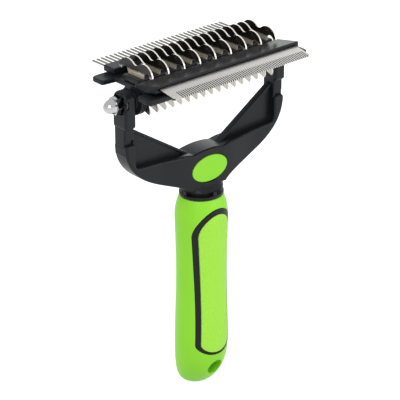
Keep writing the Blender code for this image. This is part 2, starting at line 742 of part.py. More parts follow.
def hook_side():
    """One hook from the blade's middle to its foot, in (distance from the middle, height)."""
    points = [(1.1, VALLEY_LEVEL + 0.25)]
    points += arc((LOBE_OFFSET, LOBE_LEVEL), LOBE_RADIUS, 122, 8, 9)
    points += arc((OPENING_OFFSET, OPENING_LEVEL), OPENING_RADIUS, 10, 180, 7)
    return points + [(STEM_HALF, SEAT_LEVEL)]


def plain_side():
    """The hookless front of a single blade, sloping from its top to its foot."""
    return [(0.1, VALLEY_LEVEL - 0.3), (0.8, VALLEY_LEVEL - 1.8), (3.5, LOBE_LEVEL + 0.1), (5.0, SEAT_LEVEL)]


def rake_blade(double):
    """Outline of a rake blade in YZ with its rear hook, and its front one where it is double."""
    front = hook_side() if double else plain_side()
    points = [(RAKE_CENTRE - u, z) for u, z in reversed(front)]
    if double:
        points.append((RAKE_CENTRE, VALLEY_LEVEL))
    return points + [(RAKE_CENTRE + u, z) for u, z in hook_side()]


def build_rake():
    """Black slotted carrier with the hooked blades, every other one hooked on both sides."""
    low = (-HEAD_HALF + 0.6, RAKE_CENTRE - CARRIER_HALF, DECK)
    high = (HEAD_HALF - 0.6, RAKE_CENTRE + CARRIER_HALF, DECK + CARRIER_HEIGHT)
    carrier = bevel(mesh_object("rake_drum", box_bmesh(low, high), BLACK, HEAD), 0.6)
    slots = bmesh.new()
    places = [i * RAKE_PITCH - RAKE_HALF for i in range(RAKE_COUNT)]
    for x in places:
        half = RAKE_THICK / 2 + GAP
        deep = RAKE_CENTRE - STEM_HALF - GAP
        box_into(slots, (x - half, deep, SEAT_LEVEL - GAP), (x + half, 2 * RAKE_CENTRE - deep, 30))
    cut(carrier, "rake_slots", slots)
    shade(carrier)
    for i, x in enumerate(places):
        double = i % 2 == 0
        kind = "double" if double else "single"
        blade = outline_bmesh([rake_blade(double)], RAKE_THICK, ALONG_X, x)
        shade(mesh_object(f"rake_blade_{kind}_{i + 1:02d}", blade, STEEL, HEAD))


def lower_tooth():
    """Pointed outline of one lower tooth in YZ, its back swept under the core."""
    front = -LOWER_FRONT + LOWER_WALL + 2 * GAP
    back = -LOWER_BACK - LOWER_WALL - 2 * GAP
    root = LOWER_WALL - LOWER_UNDER
    blade = [(-8.5, -3.2), (-8.6, -4.9), (-8.0, -6.4), (-4.3, -5.2), (-2.9, -4.5), (-4.9, -3.4)]
    return [(front, root)] + blade + [(back, -2.2), (back, root)]


def build_lower():
    """Black rail under the front flange and the row of pointed teeth on one spine."""
    rail = mesh_object("lower_rail", box_bmesh((-LOWER_HALF, -LOWER_FRONT, -LOWER_UNDER),
                                               (LOWER_HALF, -LOWER_BACK, TAB_UNDER - GAP)), BLACK, HEAD)
    bevel(rail, 0.4)
    front, back = -LOWER_FRONT + LOWER_WALL, -LOWER_BACK - LOWER_WALL
    root = LOWER_WALL - LOWER_UNDER
    past = LOWER_HALF + 1
    cut(rail, "lower_groove", box_bmesh((-past, front, -9), (past, back, root + 2 * GAP)))
    shade(rail)
    long = LOWER_HALF - GAP
    spine = box_bmesh((-long, front + GAP, root - 0.5), (long, back - GAP, root + GAP))
    teeth = mesh_object("lower_teeth", spine, STEEL, HEAD)
    row = bmesh.new()
    for i in range(LOWER_COUNT):
        tooth = outline_bmesh([lower_tooth()], LOWER_THICK, ALONG_X, i * RAKE_PITCH - RAKE_HALF)
        mesh = bpy.data.meshes.new("tooth")
        tooth.to_mesh(mesh)
        tooth.free()
        row.from_mesh(mesh)
        bpy.data.meshes.remove(mesh)
    join(teeth, "tooth_row", row)
    shade(teeth)


build_grip()
build_collar()
build_yoke()
build_axle()
build_core()
build_comb()
build_blade()
build_rake()
build_lower()
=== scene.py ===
"""Render scene of the dematting comb: looks, finer forms of the yoke and grip, light, floor and camera."""

import json
import math

import bmesh
import bpy
from mathutils import Matrix, Vector


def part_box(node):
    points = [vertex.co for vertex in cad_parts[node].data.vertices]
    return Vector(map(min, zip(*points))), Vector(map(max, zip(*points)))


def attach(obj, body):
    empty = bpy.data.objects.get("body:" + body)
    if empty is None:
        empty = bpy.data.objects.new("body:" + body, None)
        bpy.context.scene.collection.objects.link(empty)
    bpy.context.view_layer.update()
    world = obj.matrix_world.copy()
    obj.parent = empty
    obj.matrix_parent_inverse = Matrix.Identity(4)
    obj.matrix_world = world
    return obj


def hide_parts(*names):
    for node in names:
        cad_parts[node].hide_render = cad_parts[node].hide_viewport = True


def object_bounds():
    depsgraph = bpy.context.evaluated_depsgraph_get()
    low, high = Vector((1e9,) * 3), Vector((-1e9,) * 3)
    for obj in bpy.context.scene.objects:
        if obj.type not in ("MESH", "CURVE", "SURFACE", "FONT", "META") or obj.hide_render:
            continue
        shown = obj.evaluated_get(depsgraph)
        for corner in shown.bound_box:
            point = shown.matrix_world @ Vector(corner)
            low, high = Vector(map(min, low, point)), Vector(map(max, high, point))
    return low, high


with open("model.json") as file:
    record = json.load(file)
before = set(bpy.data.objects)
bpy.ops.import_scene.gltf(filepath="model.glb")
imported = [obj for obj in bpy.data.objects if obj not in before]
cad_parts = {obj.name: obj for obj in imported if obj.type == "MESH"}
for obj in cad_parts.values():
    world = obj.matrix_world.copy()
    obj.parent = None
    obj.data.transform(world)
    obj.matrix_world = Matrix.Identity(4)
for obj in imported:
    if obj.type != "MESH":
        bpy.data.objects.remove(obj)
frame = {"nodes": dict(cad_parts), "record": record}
cad_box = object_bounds()

scene = bpy.context.scene
scene.view_settings.view_transform = "Standard"

AXLE = frame["record"]["behaviour"]["joints"][0]["pos_m"]


# Node helpers

COLOUR_INPUTS = (6, 7)
COLOUR_OUTPUT = 2


def linear(red, green, blue):
    """Linear colour from 8-bit screen values."""
    out = []
    for value in (red, green, blue):
        share = value / 255
        out.append(share / 12.92 if share <= 0.04045 else ((share + 0.055) / 1.055) ** 2.4)
    return (*out, 1.0)


class Nodes:
    """A short way to write one node tree."""

    def __init__(self, tree):
        self.tree = tree

    def add(self, kind, **settings):
        """A node with some of its settings."""
        node = self.tree.nodes.new(kind)
        for key, value in settings.items():
            setattr(node, key, value)
        return node

    def fill(self, slot, value):
        """Link an output to an input, or set the input's value."""
        if isinstance(value, bpy.types.NodeSocket):
            self.tree.links.new(value, slot)
        else:
            slot.default_value = value

    def put(self, node, **values):
        """Fill a node's inputs by name, with _ for a space."""
        for key, value in values.items():
            self.fill(node.inputs[key.replace("_", " ")], value)
        return node

    def math(self, operation, *values):
        """One arithmetic step."""
        node = self.add("ShaderNodeMath", operation=operation)
        for slot, value in zip(node.inputs, values):
            self.fill(slot, value)
        return node.outputs["Value"]

    def span(self, value, low, high, out_low, out_high, smooth=False):
        """Map one range of values to another."""
        node = self.add("ShaderNodeMapRange", interpolation_type="SMOOTHSTEP" if smooth else "LINEAR")
        self.put(node, Value=value, From_Min=low, From_Max=high, To_Min=out_low, To_Max=out_high)
        return node.outputs["Result"]

    def mix(self, factor, first, second):
        """Mix two colours."""
        node = self.add("ShaderNodeMix", data_type="RGBA")
        self.fill(node.inputs["Factor"], factor)
        for index, colour in zip(COLOUR_INPUTS, (first, second)):
            self.fill(node.inputs[index], colour)
        return node.outputs[COLOUR_OUTPUT]

    def split(self, vector):
        """The X, Y and Z of a vector."""
        node = self.put(self.add("ShaderNodeSeparateXYZ"), Vector=vector)
        return node.outputs["X"], node.outputs["Y"], node.outputs["Z"]

    def seen(self):
        """One for what the camera sees straight, in gloss or through glass, else nought."""
        path = self.add("ShaderNodeLightPath").outputs
        mirrored = self.math("MAXIMUM", path["Is Glossy Ray"], path["Is Transmission Ray"])
        return self.math("MAXIMUM", path["Is Camera Ray"], mirrored)


class Look(Nodes):
    """One material, its patterns in the object's own metres."""

    def __init__(self, name):
        self.mat = bpy.data.materials.new(name)
        self.mat.use_nodes = True
        super().__init__(self.mat.node_tree)
        self.shader = self.tree.nodes["Principled BSDF"]
        self.coords = self.add("ShaderNodeTexCoord").outputs["Object"]

    def scaled(self, scale):
        """Object coordinates times a scale for each axis."""
        return self.put(self.add("ShaderNodeMapping"), Vector=self.coords, Scale=scale).outputs["Vector"]

    def sideways(self):
        """One where the surface faces along X, else nought."""
        across, _, _ = self.split(self.add("ShaderNodeTexCoord").outputs["Normal"])
        return self.math("GREATER_THAN", self.math("ABSOLUTE", across), 0.5)

    def noise(self, scale, detail=3.0, vector=None):
        """Noise in object coordinates, or in others."""
        node = self.add("ShaderNodeTexNoise")
        self.put(node, Vector=vector or self.coords, Scale=scale, Detail=detail)
        return node.outputs["Fac"]

    def bump(self, height, distance):
        """A bump from a height, its distance in metres."""
        return self.put(self.add("ShaderNodeBump"), Height=height, Distance=distance).outputs["Normal"]

    def set(self, **values):
        """Fill the shader's inputs."""
        self.put(self.shader, **values)
        return self.mat


# Materials, their lengths in metres

NOISE_RANGE = (0.3, 0.7)
GRAIN_HEIGHT = 0.00001
DOT_STEP = 0.0013
DOT_RANGE = (0.0, 0.7)
DOT_HEIGHT = 0.00012
# Heights of the painted reflection on the rake blades' faces: pale below, dark above, with a noisy wander
# between.
BLADE_REFLECTION_PALE_BELOW = AXLE[2] + 0.0130
BLADE_REFLECTION_DARK_ABOVE = AXLE[2] + 0.0145
BLADE_REFLECTION_WANDER = 0.0012


def black_plastic():
    """Satin black moulding with a fine grain and faint flow marks."""
    n = Look("black_plastic_fine")
    cloud = n.noise(60.0)
    grain = n.noise(2600.0, 2.0)
    colour = n.mix(cloud, linear(20, 22, 26), linear(27, 29, 33))
    rough = n.span(grain, *NOISE_RANGE, 0.3, 0.4)
    relief = n.bump(grain, GRAIN_HEIGHT)
    return n.set(Base_Color=colour, Roughness=rough, Specular_IOR_Level=0.16, Normal=relief)


def green_plastic():
    """Bright green satin plastic."""
    n = Look("green_plastic_satin")
    cloud = n.noise(45.0)
    grain = n.noise(1900.0, 2.0)
    colour = n.mix(cloud, linear(138, 218, 42), linear(146, 224, 50))
    rough = n.span(grain, *NOISE_RANGE, 0.38, 0.48)
    relief = n.bump(grain, GRAIN_HEIGHT)
    return n.set(Base_Color=colour, Roughness=rough, Specular_IOR_Level=0.3, Normal=relief)


def lime_rubber():
    """Lighter soft inlay with offset rows of fine raised dots."""
    n = Look("lime_rubber_dotted")
    x, _, z = n.split(n.coords)
    along = n.math("MULTIPLY", x, math.tau / DOT_STEP)
    up = n.math("MULTIPLY", z, math.tau / DOT_STEP)
    waves = n.math("MULTIPLY", n.math("COSINE", along), n.math("COSINE", up))
    dots = n.span(waves, *DOT_RANGE, 0.0, 1.0, smooth=True)
    colour = n.mix(dots, linear(164, 232, 70), linear(178, 243, 82))
    relief = n.bump(dots, DOT_HEIGHT)
    return n.set(Base_Color=colour, Roughness=0.55, Specular_IOR_Level=0.3, Normal=relief)


def steel(name, walls):
    """Polished stainless strip with faint grinding lines and a given colour on cut walls, which on the
    toothed plate is a near-black painted shade.
    """
    n = Look(name)
    lines = n.noise(900.0, 2.0, n.scaled((0.02, 1.0, 1.0)))
    sheet = n.mix(lines, linear(166, 165, 161), linear(190, 189, 185))
    # Cut walls that face along X take the given colour; on the toothed plate this is painted shade.
    colour = n.mix(n.sideways(), sheet, walls)
    rough = n.span(lines, *NOISE_RANGE, 0.24, 0.32)
    return n.set(Base_Color=colour, Roughness=rough, Metallic=1.0)


def blade_steel():
    """Rake blade of satin steel: a painted reflection on its faces, dark above and pale near the carrier,
    and a painted highlight on its edges.
    """
    n = Look("blade_steel")
    _, _, z = n.split(n.coords)
    cloud = n.noise(400.0)
    level = n.math("ADD", z, n.math("MULTIPLY", cloud, BLADE_REFLECTION_WANDER))
    # Painted reflection: the blade faces turn dark above a height and pale below it.
    dark = n.span(level, BLADE_REFLECTION_PALE_BELOW, BLADE_REFLECTION_DARK_ABOVE, 0.0, 1.0, smooth=True)
    sheet = n.mix(dark, linear(206, 197, 176), linear(30, 29, 26))
    # Painted highlight: the edges, which don't face along X, get a bright pale colour.
    colour = n.mix(n.sideways(), linear(226, 224, 216), sheet)
    rough = n.span(cloud, *NOISE_RANGE, 0.2, 0.32)
    return n.set(Base_Color=colour, Roughness=rough, Metallic=0.5)


def pin_steel():
    """Grey drawn wire, its steel colour darkened as a painted dark reflection."""
    n = Look("pin_steel")
    lines = n.noise(1500.0, 2.0, n.scaled((1.0, 0.05, 1.0)))
    # Painted reflection: the wire's steel colour is darkened to grey.
    colour = n.mix(lines, linear(112, 112, 106), linear(138, 138, 132))
    return n.set(Base_Color=colour, Roughness=0.35, Metallic=1.0)


def chrome():
    """Bright plated steel with light handling marks."""
    n = Look("chrome_plated")
    marks = n.noise(300.0)
    rough = n.span(marks, 0.4, 0.8, 0.06, 0.16)
    return n.set(Base_Color=linear(176, 176, 178), Roughness=rough, Metallic=1.0)


def nylon():
    """Black nylon, a little greyer than the moulding."""
    n = Look("nylon_black")
    cloud = n.noise(200.0)
    colour = n.mix(cloud, linear(30, 30, 31), linear(38, 38, 39))
    return n.set(Base_Color=colour, Roughness=0.5)


LOOKS = {
    "black_plastic": black_plastic(),
    "green_plastic": green_plastic(),
    "lime_rubber": lime_rubber(),
    "steel": steel("stainless_polished", linear(172, 169, 160)),
    # Near-black cut walls on the toothed plate: painted shade between its teeth.
    "plate": steel("stainless_toothed", linear(40, 39, 36)),
    "chrome": chrome(),
    "nylon": nylon(),
    "blade": blade_steel(),
    "pins": pin_steel(),
}
OWN_LOOKS = {"comb_pins": "pins", "blade_plate": "plate", "nut_washer": "nylon", "bolt_washer": "nylon"}


def dress_nodes():
    """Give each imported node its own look, or that of its material slot."""
    for entry in frame["record"]["subparts"]:
        name = entry["node"]
        look = "blade" if name.startswith("rake_blade") else OWN_LOOKS.get(name, entry["material_slot"])
        obj = frame["nodes"][name]
        obj.data.materials.clear()
        obj.data.materials.append(LOOKS[look])


# Form helpers, in millimetres

MM = 0.001
GAP = 0.3
ROUND_SEGMENTS = 4
FINE_SEGMENTS = 3
ROUNDED_ANGLE = 50
SHARP_ANGLE = 40
HOLE_STEPS = 40
ALONG_X = Matrix(((0, 0, 1, 0), (1, 0, 0, 0), (0, 1, 0, 0), (0, 0, 0, 1)))
ALONG_Y = Matrix.Rotation(math.radians(90), 4, "X")


def corner(node, end, axis):
    """One coordinate of a node's box."""
    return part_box(node)[end][axis] / MM


def prism(loop, thick, turn, centre=0.0):
    """A flat outline made thick along its third axis, then turned into place."""
    bm = bmesh.new()
    face = bm.faces.new([bm.verts.new((u * MM, v * MM, (centre - thick / 2) * MM)) for u, v in loop])
    grown = bmesh.ops.extrude_face_region(bm, geom=[face])["geom"]
    verts = [item for item in grown if isinstance(item, bmesh.types.BMVert)]
    bmesh.ops.translate(bm, verts=verts, vec=(0, 0, thick * MM))
    bmesh.ops.transform(bm, verts=bm.verts, matrix=turn)
    bmesh.ops.recalc_face_normals(bm, faces=bm.faces)
    return bm


def box(low, high):
    """A box between two corners."""
    bm = bmesh.new()
    size = [(b - a) * MM for a, b in zip(low, high)]
    middle = [(a + b) / 2 * MM for a, b in zip(low, high)]
    bmesh.ops.create_cube(bm, size=1, matrix=Matrix.Translation(middle) @ Matrix.Diagonal((*size, 1)))
    return bm


def rounded(bm, width, segments=ROUND_SEGMENTS):
    """Round a form's sharp edges."""
    edges = [edge for edge in bm.edges if edge.calc_face_angle(0) > math.radians(ROUNDED_ANGLE)]
    bmesh.ops.bevel(bm, geom=edges, offset=width * MM, offset_type="OFFSET", segments=segments, profile=0.5,
                    affect="EDGES", clamp_overlap=True)
    return bm


def ring(centre, half, steps, start=0, turn=360):
    """Points round an ellipse, or round a part of it."""
    angles = [math.radians(start + turn * i / steps) for i in range(steps if turn == 360 else steps + 1)]
    return [(centre[0] + half[0] * math.cos(a), centre[1] + half[1] * math.sin(a)) for a in angles]


def both_halves(half):
    """An outline from its right half, which starts and ends on the middle line."""
    return half + [(-u, v) for u, v in reversed(half) if u > 0]


def place(name, bm):
    """Link a form as an object."""
    mesh = bpy.data.meshes.new(name)
    bm.to_mesh(mesh)
    bm.free()
    obj = bpy.data.objects.new(name, mesh)
    scene.collection.objects.link(obj)
    return obj


def taken(obj):
    """An object's form, with the object removed."""
    bm = bmesh.new()
    bm.from_mesh(obj.data)
    bpy.data.objects.remove(obj, do_unlink=True)
    return bm


def combine(obj, bm, operation):
    """Join a form to an object, cut it away or keep what both share, for good."""
    tool = place("tool", bm)
    step = obj.modifiers.new("step", "BOOLEAN")
    step.operation = operation
    step.solver = "EXACT"
    step.object = tool
    graph = bpy.context.evaluated_depsgraph_get()
    result = bpy.data.meshes.new_from_object(obj.evaluated_get(graph))
    obj.modifiers.clear()
    obj.data = result
    bpy.data.objects.remove(tool, do_unlink=True)


def stand_in(piece, body, node, slot):
    """Finish a piece that stands for a node: its look, its shading and the body it rides on."""
    piece.data.materials.clear()
    piece.data.materials.append(LOOKS[slot])
    piece.data.shade_smooth()
    piece.data.set_sharp_from_angle(angle=math.radians(SHARP_ANGLE))
    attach(piece, body)
    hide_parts(node)
    even = piece.modifiers.new("even_shading", "WEIGHTED_NORMAL")
    even.keep_sharp = True


# Yoke and badge, in millimetres: their nodes' forms with the hub and corners blended

AXLE_UP = AXLE[2] / MM
ARM_INNER = corner("friction_washer_right", 1, 0) + GAP
ARM_OUTER = corner("yoke_frame", 1, 0)
ARM_THICK = ARM_OUTER - ARM_INNER
ARM_DEPTH = 10.0
ARM_HEAD = 12.6
ARM_ABOVE_AXLE = 6.6
ARM_ROUND = 1.3
ARM_ARC_STEPS = 24
ARM_SLOT = (18.6, 21.0)
SLOT_DEPTH = 2.4
SLOT_FLOOR = 1.0
SLOT_BEYOND = 1.0
SHANK_INSET = 0.4
SHANK_LAP = 0.15
SHANK_FRONT = 3.5
SHANK_BACK = 4.5
SHANK_ROUND = 1.0
SHANK_BELOW = 6.0
SHANK_ABOVE = 1.5
BORE_RADIUS = 2.8
BORE_BEFORE = 5.0
RECESS_RADIUS = 5.4
RECESS_DEPTH = 2.2
BORE_LENGTH = 20.0
NECK_BASE = corner("neck_collar", 1, 2) + GAP
NECK_HALF = (corner("neck_collar", 1, 0) - GAP, corner("neck_collar", 1, 1) - GAP)
NECK_FLARE = 4.2
NECK_INSET = 0.6
NECK_BELOW_HUB = 2.0
NECK_STEPS = 48
NECK_ROWS = 8
BADGE_MIDDLE = (corner("hub_badge", 0, 2) + corner("hub_badge", 1, 2)) / 2
HUB_HEIGHT = BADGE_MIDDLE - 1.3
HUB_DEPTH = 12.8
HUB_FLAT = 8.0
HUB_SPREAD = 33.0
HUB_STEPS = 12
HUB_ARCH = 1.0
ARCH_STEPS = 4
BADGE_HALF = (11.3, 6.8)
BADGE_THICK = 1.6
BADGE_FACE = HUB_DEPTH / 2 + 0.35
BADGE_ROUND = 0.35
BADGE_STEPS = 64
SEAT_LENGTH = 6.0
BAR_DEPTH = 9.4
BAR_ROUND = 1.3
BAR_RISE = 0.8
BAR_LAP = 0.1
BEND_IN = (6.8, 7.8)
BEND_OUT = (0.3, -25.0)
BEND_STEPS = 28
BISECT_SNAP = 1e-7
GUSSET_FOOT = BADGE_MIDDLE + 8.1
GUSSET_INNER = 9.7
GUSSET_RISE = 22.8
RIM_WIDTH = 1.8
RIM_THICK = 3.6
RIM_ROUND = 0.5
RIM_LAPS = (0.5, 1.5)
LEDGE_RISE = 2.4
LEDGE_START = 4.5
LEDGE_ROUND = 2.4
LEDGE_TURN = -80
LEDGE_STEPS = 4
WEB_THICK = 1.6
WEB_ENDS = (1.0, 1.2)
WEB_CORNER = 4.0
WEB_FOOT = (-2.0, 1.0, 8.0)
WEB_BELOW_RIM = 0.8
TANG_HALF = (6.0, 4.0)
TANG_BOTTOM = corner("yoke_frame", 0, 2)


def gusset_line(x):
    """Height of the yoke's sloping inner edge at a distance from its middle."""
    return GUSSET_FOOT + GUSSET_RISE * (x - GUSSET_INNER) / (ARM_INNER - GUSSET_INNER)


def lower_edge(start, end):
    """The crossbar's lower edge: one smooth curve from the neck out and up along the arm."""
    bend_in = (start[0] + BEND_IN[0], start[1] + BEND_IN[1])
    bend_out = (end[0] + BEND_OUT[0], end[1] + BEND_OUT[1])
    corners = (start, bend_in, bend_out, end)
    points = []
    for i in range(BEND_STEPS + 1):
        t = i / BEND_STEPS
        weights = ((1 - t) ** 3, 3 * t * (1 - t) ** 2, 3 * t * t * (1 - t), t ** 3)
        points.append(tuple(sum(w * p[k] for w, p in zip(weights, corners)) for k in (0, 1)))
    return points


def yoke_outline():
    """The crossbar in XZ, from the neck out to the arms and back to the hub's top."""
    low = NECK_BASE + BAR_RISE
    top = AXLE_UP - ARM_SLOT[1]
    inner = ARM_INNER + BAR_LAP
    ledge = GUSSET_FOOT + LEDGE_RISE + LEDGE_ROUND
    half = [(0.0, low)]
    half += lower_edge((NECK_HALF[0], low), (ARM_OUTER - SHANK_INSET + SHANK_LAP, top))
    half += [(inner, top), (inner, ledge)]
    half += ring((inner - LEDGE_ROUND, ledge), (LEDGE_ROUND, LEDGE_ROUND), LEDGE_STEPS, 0, LEDGE_TURN)[1:]
    half.append((GUSSET_INNER + LEDGE_START, GUSSET_FOOT + LEDGE_RISE / 3))
    for i in range(ARCH_STEPS + 1):
        t = i / ARCH_STEPS
        half.append((GUSSET_INNER * (1 - t), GUSSET_FOOT + HUB_ARCH * t * (2 - t)))
    return both_halves(half)


def bar_share(x):
    """Depth of the crossbar at a distance from its middle, as a share of the hub's."""
    step = min(max((abs(x) - HUB_FLAT) / (HUB_SPREAD - HUB_FLAT), 0), 1)
    return 1 - (1 - BAR_DEPTH / HUB_DEPTH) * step * step * (3 - 2 * step)


def crossbar():
    """The crossbar with rounded edges, its depth swelling smoothly at the hub."""
    bm = rounded(prism(yoke_outline(), HUB_DEPTH, ALONG_Y), BAR_ROUND)
    for i in range(HUB_STEPS + 1):
        reach = HUB_FLAT + (HUB_SPREAD - HUB_FLAT) * i / HUB_STEPS
        for side in (-1, 1):
            geom = bm.verts[:] + bm.edges[:] + bm.faces[:]
            bmesh.ops.bisect_plane(bm, geom=geom, dist=BISECT_SNAP, plane_co=(side * reach * MM, 0, 0),
                                   plane_no=(1, 0, 0))
    for vert in bm.verts:
        vert.co.y *= bar_share(vert.co.x / MM)
    return bm


def neck():
    """The neck, flaring from the collar up into the hub."""
    bm = bmesh.new()
    top = HUB_HEIGHT - NECK_BELOW_HUB
    deepening = HUB_DEPTH / 2 - NECK_INSET - NECK_HALF[1]
    rings = []
    for row in range(NECK_ROWS + 1):
        t = row / NECK_ROWS
        half = (NECK_HALF[0] + NECK_FLARE * t * t, NECK_HALF[1] + deepening * t * (2 - t))
        height = NECK_BASE + (top - NECK_BASE) * t
        points = ring((0, 0), half, NECK_STEPS)
        rings.append([bm.verts.new((x * MM, y * MM, height * MM)) for x, y in points])
    for low, high in zip(rings, rings[1:]):
        for i in range(NECK_STEPS):
            j = (i + 1) % NECK_STEPS
            bm.faces.new((low[i], low[j], high[j], high[i]))
    bm.faces.new(rings[-1])
    bm.faces.new(list(reversed(rings[0])))
    bmesh.ops.recalc_face_normals(bm, faces=bm.faces)
    return bm


def web(side):
    """The thin web of one gusset, from beside the hub out into the arm."""
    near = GUSSET_INNER + WEB_ENDS[0]
    far = ARM_INNER + WEB_ENDS[1]
    loop = list(zip((near, far - WEB_CORNER, far), (GUSSET_FOOT + rise for rise in WEB_FOOT)))
    loop += [(x, gusset_line(x) - WEB_BELOW_RIM) for x in (far, near)]
    return prism([(side * x, z) for x, z in loop], WEB_THICK, ALONG_Y)


def rim(side):
    """The rounded rim along one gusset's sloping edge."""
    near = GUSSET_INNER - RIM_LAPS[0]
    far = ARM_INNER + RIM_LAPS[1]
    loop = [(x, gusset_line(x) - RIM_WIDTH) for x in (near, far)]
    loop += [(x, gusset_line(x)) for x in (far, near)]
    return rounded(prism([(side * x, z) for x, z in loop], RIM_THICK, ALONG_Y), RIM_ROUND, FINE_SEGMENTS)


def shank(side):
    """The slimmer stretch of one arm, from the crossbar up to the arm's head."""
    low, high = sorted((side * (ARM_INNER + SHANK_LAP), side * (ARM_OUTER - SHANK_INSET)))
    bottom = AXLE_UP - ARM_SLOT[1] - SHANK_BELOW
    top = AXLE_UP - ARM_HEAD + SHANK_ABOVE
    return rounded(box((low, -SHANK_FRONT, bottom), (high, SHANK_BACK, top)), SHANK_ROUND)


def arm_head(side):
    """The head of one arm, round over the axle."""
    half = ARM_DEPTH / 2
    bottom = AXLE_UP - ARM_HEAD
    loop = [(-half, bottom), (half, bottom)]
    loop += ring((0, AXLE_UP + ARM_ABOVE_AXLE - half), (half, half), ARM_ARC_STEPS, 0, 180)
    return rounded(prism(loop, ARM_THICK, ALONG_X, side * (ARM_INNER + ARM_THICK / 2)), ARM_ROUND)


def bore(side, radius, start):
    """A hole on the axle's line, from a distance from the middle outwards."""
    hole = ring((0, AXLE_UP), (radius, radius), HOLE_STEPS)
    return prism(hole, BORE_LENGTH, ALONG_X, side * (start + BORE_LENGTH / 2))


def arm_slot(side):
    """The notch across the front of one arm."""
    low, high = sorted((side * (ARM_INNER + SLOT_FLOOR), side * (ARM_OUTER + SLOT_BEYOND)))
    back = -ARM_DEPTH / 2 + SLOT_DEPTH
    return box((low, -ARM_DEPTH, AXLE_UP - ARM_SLOT[1]), (high, back, AXLE_UP - ARM_SLOT[0]))


def add_arm(yoke, side):
    """Join one arm and its gusset to the crossbar, and bore it for the axle."""
    for form in (web, rim, shank, arm_head):
        combine(yoke, form(side), "UNION")
    combine(yoke, bore(side, BORE_RADIUS, ARM_INNER - BORE_BEFORE), "DIFFERENCE")
    combine(yoke, bore(side, RECESS_RADIUS, ARM_OUTER - RECESS_DEPTH), "DIFFERENCE")
    combine(yoke, arm_slot(side), "DIFFERENCE")


def build_yoke():
    """Black two-armed frame that stands for its node."""
    yoke = place("yoke", crossbar())
    combine(yoke, neck(), "UNION")
    for side in (-1, 1):
        add_arm(yoke, side)
    tang = box((-TANG_HALF[0], -TANG_HALF[1], TANG_BOTTOM), (*TANG_HALF, HUB_HEIGHT))
    combine(yoke, tang, "UNION")
    seat = ring((0, HUB_HEIGHT), [half + GAP for half in BADGE_HALF], BADGE_STEPS)
    seat_floor = BADGE_FACE - BADGE_THICK - GAP
    combine(yoke, prism(seat, SEAT_LENGTH, ALONG_Y, seat_floor + SEAT_LENGTH / 2), "DIFFERENCE")
    stand_in(yoke, "hand", "yoke_frame", "black_plastic")


def build_badge():
    """Plain green oval in the hub's front."""
    oval = ring((0, HUB_HEIGHT), BADGE_HALF, BADGE_STEPS)
    plate = prism(oval, BADGE_THICK, ALONG_Y, BADGE_FACE - BADGE_THICK / 2)
    badge = place("badge", rounded(plate, BADGE_ROUND, FINE_SEGMENTS))
    stand_in(badge, "hand", "hub_badge", "green_plastic")


# Grip, in millimetres: its nodes' forms with a slimmer inlay band and a leaning foot

GRIP_TOP = corner("neck_collar", 0, 2) - GAP
GRIP_FOOT = 24.0
GRIP_WIDTH = 28.0
GRIP_DEPTH = 26.5
FOOT_FLAT = 4.2
FOOT_LEAN = 5.0
FOOT_POWER = 2.2
FOOT_ROWS = 16
WAIST = 0.8
WAIST_ROWS = 14
SHOULDER_HEIGHT = 12.0
SHOULDER_INSET = 2.6
SHOULDER_ROWS = 10
TURN_STEPS = 82
MERGE_WITHIN = 1e-6
INLAY_BOTTOM = 20.9
INLAY_TOP = GRIP_TOP - 4.6
INLAY_LOW_HALF = 11.2
INLAY_TOP_HALF = 12.0
INLAY_WAIST = 0.7
INLAY_SINK = 1.8
INLAY_END_SHARES = (0.6, 1.2)
INLAY_STEPS = (14, 16, 18)
INLAY_LENGTH = 20.0
INLAY_CUT_LENGTH = 24.0
INLAY_MIDDLE = 10.5
PLUG_BELOW = 5.0
PLUG_ABOVE = 3.0
PLUG_ROWS = 24
BAND_WIDTHS = (1.7, 1.0, 2.5)
BAND_PROUD = 0.1
PAD_PROUD = 0.05
HANG_HEIGHT = 12.3
HANG_RADIUS = 4.4
HANG_LENGTH = 60.0
SOCKET_ABOVE = 5.0


def grip_radius(height):
    """Radius of the grip across X at a height: a rounded foot, a slight waist and a soft shoulder."""
    full = GRIP_WIDTH / 2
    if height < GRIP_FOOT:
        below = (GRIP_FOOT - height) / GRIP_FOOT
        return FOOT_FLAT + (full - FOOT_FLAT) * (1 - below ** FOOT_POWER) ** (1 / FOOT_POWER)
    along = min((height - GRIP_FOOT) / (GRIP_TOP - GRIP_FOOT), 1)
    into = max((height - GRIP_TOP + SHOULDER_HEIGHT) / SHOULDER_HEIGHT, 0)
    return full - WAIST * math.sin(math.pi * along) ** 2 - SHOULDER_INSET * into ** 2


def turned(profile):
    """A profile of (radius, height) points, from the top down, turned about Z with its foot leaning back."""
    bm = bmesh.new()
    verts = [bm.verts.new((r * MM, 0, h * MM)) for r, h in profile]
    for a, b in zip(verts, verts[1:]):
        bm.edges.new((a, b))
    geom = bm.verts[:] + bm.edges[:]
    bmesh.ops.spin(bm, geom=geom, axis=(0, 0, 1), cent=(0, 0, 0), angle=math.tau, steps=TURN_STEPS)
    bmesh.ops.remove_doubles(bm, verts=bm.verts, dist=MERGE_WITHIN)
    bmesh.ops.scale(bm, verts=bm.verts, vec=(1, GRIP_DEPTH / GRIP_WIDTH, 1))
    for vert in bm.verts:
        below = max(1 - vert.co.z / MM / GRIP_FOOT, 0)
        vert.co.y += FOOT_LEAN * below ** 2 * MM
    bmesh.ops.recalc_face_normals(bm, faces=bm.faces)
    return bm


